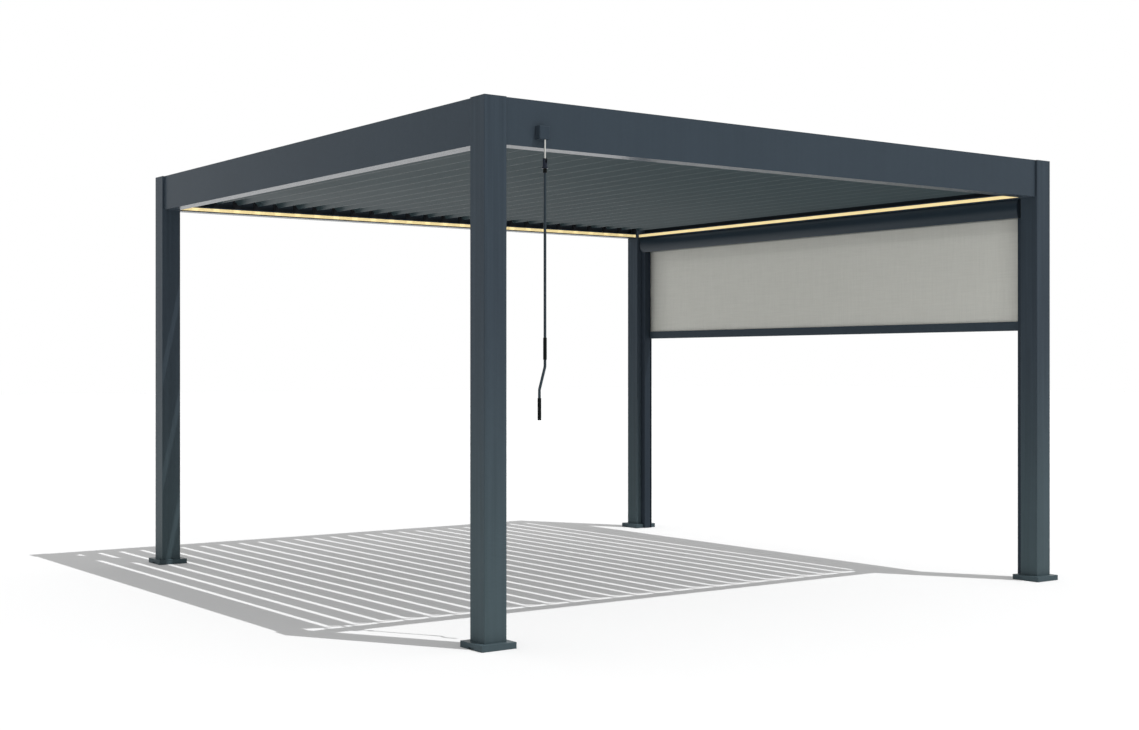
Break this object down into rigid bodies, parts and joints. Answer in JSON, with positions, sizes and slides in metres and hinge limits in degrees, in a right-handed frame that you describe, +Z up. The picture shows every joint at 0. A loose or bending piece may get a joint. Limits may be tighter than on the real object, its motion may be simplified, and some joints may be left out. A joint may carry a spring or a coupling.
{
  "type": "louvered pergola",
  "caption": "Free-standing dark grey metal pergola with a roof of turning louvres worked by a hand crank, light strips inside the beams and a roller screen on one side",
  "frame": {"origin": "on the floor at the middle of the plan", "axes": "+X runs along the front beam to the side with the screen, +Y runs from front to rear, +Z up"},
  "size_m": [4.065, 3.985, 2.49],
  "materials": {
    "frame_paint": "fine matt powder coat, blue grey",
    "louvre_paint": "fine matt powder coat, blue grey",
    "light": "warm white diffuser over a light strip",
    "bearing": "moulded, black",
    "bare_aluminium": "mill finish",
    "steel": "turned",
    "gearbox": "cast and painted, satin",
    "crank_paint": "powder coated tube",
    "black_plastic": "moulded, black",
    "screen_metal": "fine matt powder coat, blue grey",
    "screen_fabric": "coated mesh screen fabric, light grey"
  },
  "bodies": {
    "frame": {"post_front_left": "frame_paint", "post_rear_left": "frame_paint", "post_front_right": "frame_paint", "post_rear_right": "frame_paint", "base_cover_front_left": "frame_paint", "base_cover_rear_left": "frame_paint", "base_cover_front_right": "frame_paint", "base_cover_rear_right": "frame_paint", "beam_front": "frame_paint", "beam_rear": "frame_paint", "beam_left": "frame_paint", "beam_right": "frame_paint", "light_front": "light", "light_rear": "light", "light_left": "light", "light_right": "light", "pivot_blocks_front": "bearing", "pivot_blocks_rear": "bearing", "crank_gearbox": "gearbox", "screen_cassette": "screen_metal", "screen_end_plates": "screen_metal", "screen_roller": "bare_aluminium", "screen_fabric": "screen_fabric", "screen_bottom_bar": "screen_metal", "screen_guide_front": "screen_metal", "screen_guide_rear": "screen_metal"},
    "louvre_01": {"louvre_01": "louvre_paint"},
    "louvre_02": {"louvre_02": "louvre_paint"},
    "louvre_03": {"louvre_03": "louvre_paint"},
    "louvre_04": {"louvre_04": "louvre_paint"},
    "louvre_05": {"louvre_05": "louvre_paint"},
    "louvre_06": {"louvre_06": "louvre_paint"},
    "louvre_07": {"louvre_07": "louvre_paint"},
    "louvre_08": {"louvre_08": "louvre_paint"},
    "louvre_09": {"louvre_09": "louvre_paint"},
    "louvre_10": {"louvre_10": "louvre_paint"},
    "louvre_11": {"louvre_11": "louvre_paint"},
    "louvre_12": {"louvre_12": "louvre_paint"},
    "louvre_13": {"louvre_13": "louvre_paint"},
    "louvre_14": {"louvre_14": "louvre_paint"},
    "louvre_15": {"louvre_15": "louvre_paint"},
    "louvre_16": {"louvre_16": "louvre_paint"},
    "louvre_17": {"louvre_17": "louvre_paint"},
    "louvre_18": {"louvre_18": "louvre_paint"},
    "louvre_19": {"louvre_19": "louvre_paint"},
    "louvre_20": {"louvre_20": "louvre_paint"},
    "louvre_21": {"louvre_21": "louvre_paint"},
    "louvre_22": {"louvre_22": "louvre_paint"},
    "louvre_23": {"louvre_23": "louvre_paint"},
    "louvre_24": {"louvre_24": "louvre_paint"},
    "louvre_25": {"louvre_25": "louvre_paint"},
    "louvre_26": {"louvre_26": "louvre_paint"},
    "link_bar": {"tie_bar": "bare_aluminium"},
    "drive": {"drive_arm": "steel"},
    "crank_input": {"crank_pin": "steel"},
    "crank": {"crank_joint": "gearbox", "crank_collar": "black_plastic", "crank_rod": "crank_paint"},
    "upper_grip": {"grip_upper": "black_plastic"},
    "lower_grip": {"grip_lower": "black_plastic"}
  },
  "joints": [
    {"name": "louvre_13_turn", "type": "hinge", "parent": "frame", "child": "louvre_13", "pos_m": [-0.033, 0, 2.355], "axis": [0, 1, 0], "range_deg": [-54, 36]},
    {"name": "louvre_01_turn", "type": "hinge", "parent": "frame", "child": "louvre_01", "pos_m": [-1.78361, 0, 2.355], "axis": [0, 1, 0], "range_deg": [-54, 36]},
    {"name": "louvre_02_turn", "type": "hinge", "parent": "frame", "child": "louvre_02", "pos_m": [-1.63773, 0, 2.355], "axis": [0, 1, 0], "range_deg": [-54, 36]},
    {"name": "louvre_03_turn", "type": "hinge", "parent": "frame", "child": "louvre_03", "pos_m": [-1.49185, 0, 2.355], "axis": [0, 1, 0], "range_deg": [-54, 36]},
    {"name": "louvre_04_turn", "type": "hinge", "parent": "frame", "child": "louvre_04", "pos_m": [-1.34596, 0, 2.355], "axis": [0, 1, 0], "range_deg": [-54, 36]},
    {"name": "louvre_05_turn", "type": "hinge", "parent": "frame", "child": "louvre_05", "pos_m": [-1.20008, 0, 2.355], "axis": [0, 1, 0], "range_deg": [-54, 36]},
    {"name": "louvre_06_turn", "type": "hinge", "parent": "frame", "child": "louvre_06", "pos_m": [-1.05419, 0, 2.355], "axis": [0, 1, 0], "range_deg": [-54, 36]},
    {"name": "louvre_07_turn", "type": "hinge", "parent": "frame", "child": "louvre_07", "pos_m": [-0.90831, 0, 2.355], "axis": [0, 1, 0], "range_deg": [-54, 36]},
    {"name": "louvre_08_turn", "type": "hinge", "parent": "frame", "child": "louvre_08", "pos_m": [-0.76242, 0, 2.355], "axis": [0, 1, 0], "range_deg": [-54, 36]},
    {"name": "louvre_09_turn", "type": "hinge", "parent": "frame", "child": "louvre_09", "pos_m": [-0.61654, 0, 2.355], "axis": [0, 1, 0], "range_deg": [-54, 36]},
    {"name": "louvre_10_turn", "type": "hinge", "parent": "frame", "child": "louvre_10", "pos_m": [-0.47065, 0, 2.355], "axis": [0, 1, 0], "range_deg": [-54, 36]},
    {"name": "louvre_11_turn", "type": "hinge", "parent": "frame", "child": "louvre_11", "pos_m": [-0.32477, 0, 2.355], "axis": [0, 1, 0], "range_deg": [-54, 36]},
    {"name": "louvre_12_turn", "type": "hinge", "parent": "frame", "child": "louvre_12", "pos_m": [-0.17888, 0, 2.355], "axis": [0, 1, 0], "range_deg": [-54, 36]},
    {"name": "louvre_14_turn", "type": "hinge", "parent": "frame", "child": "louvre_14", "pos_m": [0.11288, 0, 2.355], "axis": [0, 1, 0], "range_deg": [-54, 36]},
    {"name": "louvre_15_turn", "type": "hinge", "parent": "frame", "child": "louvre_15", "pos_m": [0.25877, 0, 2.355], "axis": [0, 1, 0], "range_deg": [-54, 36]},
    {"name": "louvre_16_turn", "type": "hinge", "parent": "frame", "child": "louvre_16", "pos_m": [0.40465, 0, 2.355], "axis": [0, 1, 0], "range_deg": [-54, 36]},
    {"name": "louvre_17_turn", "type": "hinge", "parent": "frame", "child": "louvre_17", "pos_m": [0.55054, 0, 2.355], "axis": [0, 1, 0], "range_deg": [-54, 36]},
    {"name": "louvre_18_turn", "type": "hinge", "parent": "frame", "child": "louvre_18", "pos_m": [0.69642, 0, 2.355], "axis": [0, 1, 0], "range_deg": [-54, 36]},
    {"name": "louvre_19_turn", "type": "hinge", "parent": "frame", "child": "louvre_19", "pos_m": [0.84231, 0, 2.355], "axis": [0, 1, 0], "range_deg": [-54, 36]},
    {"name": "louvre_20_turn", "type": "hinge", "parent": "frame", "child": "louvre_20", "pos_m": [0.98819, 0, 2.355], "axis": [0, 1, 0], "range_deg": [-54, 36]},
    {"name": "louvre_21_turn", "type": "hinge", "parent": "frame", "child": "louvre_21", "pos_m": [1.13408, 0, 2.355], "axis": [0, 1, 0], "range_deg": [-54, 36]},
    {"name": "louvre_22_turn", "type": "hinge", "parent": "frame", "child": "louvre_22", "pos_m": [1.27996, 0, 2.355], "axis": [0, 1, 0], "range_deg": [-54, 36]},
    {"name": "louvre_23_turn", "type": "hinge", "parent": "frame", "child": "louvre_23", "pos_m": [1.42585, 0, 2.355], "axis": [0, 1, 0], "range_deg": [-54, 36]},
    {"name": "louvre_24_turn", "type": "hinge", "parent": "frame", "child": "louvre_24", "pos_m": [1.57173, 0, 2.355], "axis": [0, 1, 0], "range_deg": [-54, 36]},
    {"name": "louvre_25_turn", "type": "hinge", "parent": "frame", "child": "louvre_25", "pos_m": [1.71761, 0, 2.355], "axis": [0, 1, 0], "range_deg": [-54, 36]},
    {"name": "louvre_26_turn", "type": "hinge", "parent": "frame", "child": "louvre_26", "pos_m": [1.8635, 0, 2.355], "axis": [0, 1, 0], "range_deg": [-54, 36]},
    {"name": "link_bar_turn", "type": "hinge", "parent": "louvre_13", "child": "link_bar", "pos_m": [-0.02596, -1.8315, 2.39945], "axis": [0, 1, 0], "range_deg": [-36, 54]},
    {"name": "drive_arm_turn", "type": "hinge", "parent": "frame", "child": "drive", "pos_m": [-1.686, -1.9, 2.355], "axis": [0, 1, 0], "range_deg": [-54, 36]},
    {"name": "crank_turn", "type": "hinge", "parent": "frame", "child": "crank_input", "pos_m": [-1.678, -1.972, 2.31], "axis": [0, 0, 1], "range_deg": [-2160, 1440]},
    {"name": "crank_swing", "type": "hinge", "parent": "crank_input", "child": "crank", "pos_m": [-1.678, -1.972, 2.212], "axis": [-1, 0, 0], "range_deg": [-40, 40]},
    {"name": "upper_grip_turn", "type": "hinge", "parent": "crank", "child": "upper_grip", "pos_m": [-1.678, -1.972, 1.352], "axis": [0, 0, 1], "continuous": true},
    {"name": "lower_grip_turn", "type": "hinge", "parent": "crank", "child": "lower_grip", "pos_m": [-1.709, -1.972, 1.076], "axis": [0, 0, 1], "continuous": true}
  ],
  "couplings": [
    {"joint": "louvre_01_turn", "follows": "louvre_13_turn", "ratio": 1},
    {"joint": "louvre_02_turn", "follows": "louvre_13_turn", "ratio": 1},
    {"joint": "louvre_03_turn", "follows": "louvre_13_turn", "ratio": 1},
    {"joint": "louvre_04_turn", "follows": "louvre_13_turn", "ratio": 1},
    {"joint": "louvre_05_turn", "follows": "louvre_13_turn", "ratio": 1},
    {"joint": "louvre_06_turn", "follows": "louvre_13_turn", "ratio": 1},
    {"joint": "louvre_07_turn", "follows": "louvre_13_turn", "ratio": 1},
    {"joint": "louvre_08_turn", "follows": "louvre_13_turn", "ratio": 1},
    {"joint": "louvre_09_turn", "follows": "louvre_13_turn", "ratio": 1},
    {"joint": "louvre_10_turn", "follows": "louvre_13_turn", "ratio": 1},
    {"joint": "louvre_11_turn", "follows": "louvre_13_turn", "ratio": 1},
    {"joint": "louvre_12_turn", "follows": "louvre_13_turn", "ratio": 1},
    {"joint": "louvre_14_turn", "follows": "louvre_13_turn", "ratio": 1},
    {"joint": "louvre_15_turn", "follows": "louvre_13_turn", "ratio": 1},
    {"joint": "louvre_16_turn", "follows": "louvre_13_turn", "ratio": 1},
    {"joint": "louvre_17_turn", "follows": "louvre_13_turn", "ratio": 1},
    {"joint": "louvre_18_turn", "follows": "louvre_13_turn", "ratio": 1},
    {"joint": "louvre_19_turn", "follows": "louvre_13_turn", "ratio": 1},
    {"joint": "louvre_20_turn", "follows": "louvre_13_turn", "ratio": 1},
    {"joint": "louvre_21_turn", "follows": "louvre_13_turn", "ratio": 1},
    {"joint": "louvre_22_turn", "follows": "louvre_13_turn", "ratio": 1},
    {"joint": "louvre_23_turn", "follows": "louvre_13_turn", "ratio": 1},
    {"joint": "louvre_24_turn", "follows": "louvre_13_turn", "ratio": 1},
    {"joint": "louvre_25_turn", "follows": "louvre_13_turn", "ratio": 1},
    {"joint": "louvre_26_turn", "follows": "louvre_13_turn", "ratio": 1},
    {"joint": "link_bar_turn", "follows": "louvre_13_turn", "ratio": -1},
    {"joint": "drive_arm_turn", "follows": "louvre_13_turn", "ratio": 1},
    {"joint": "crank_turn", "follows": "louvre_13_turn", "ratio": 40}
  ]
}
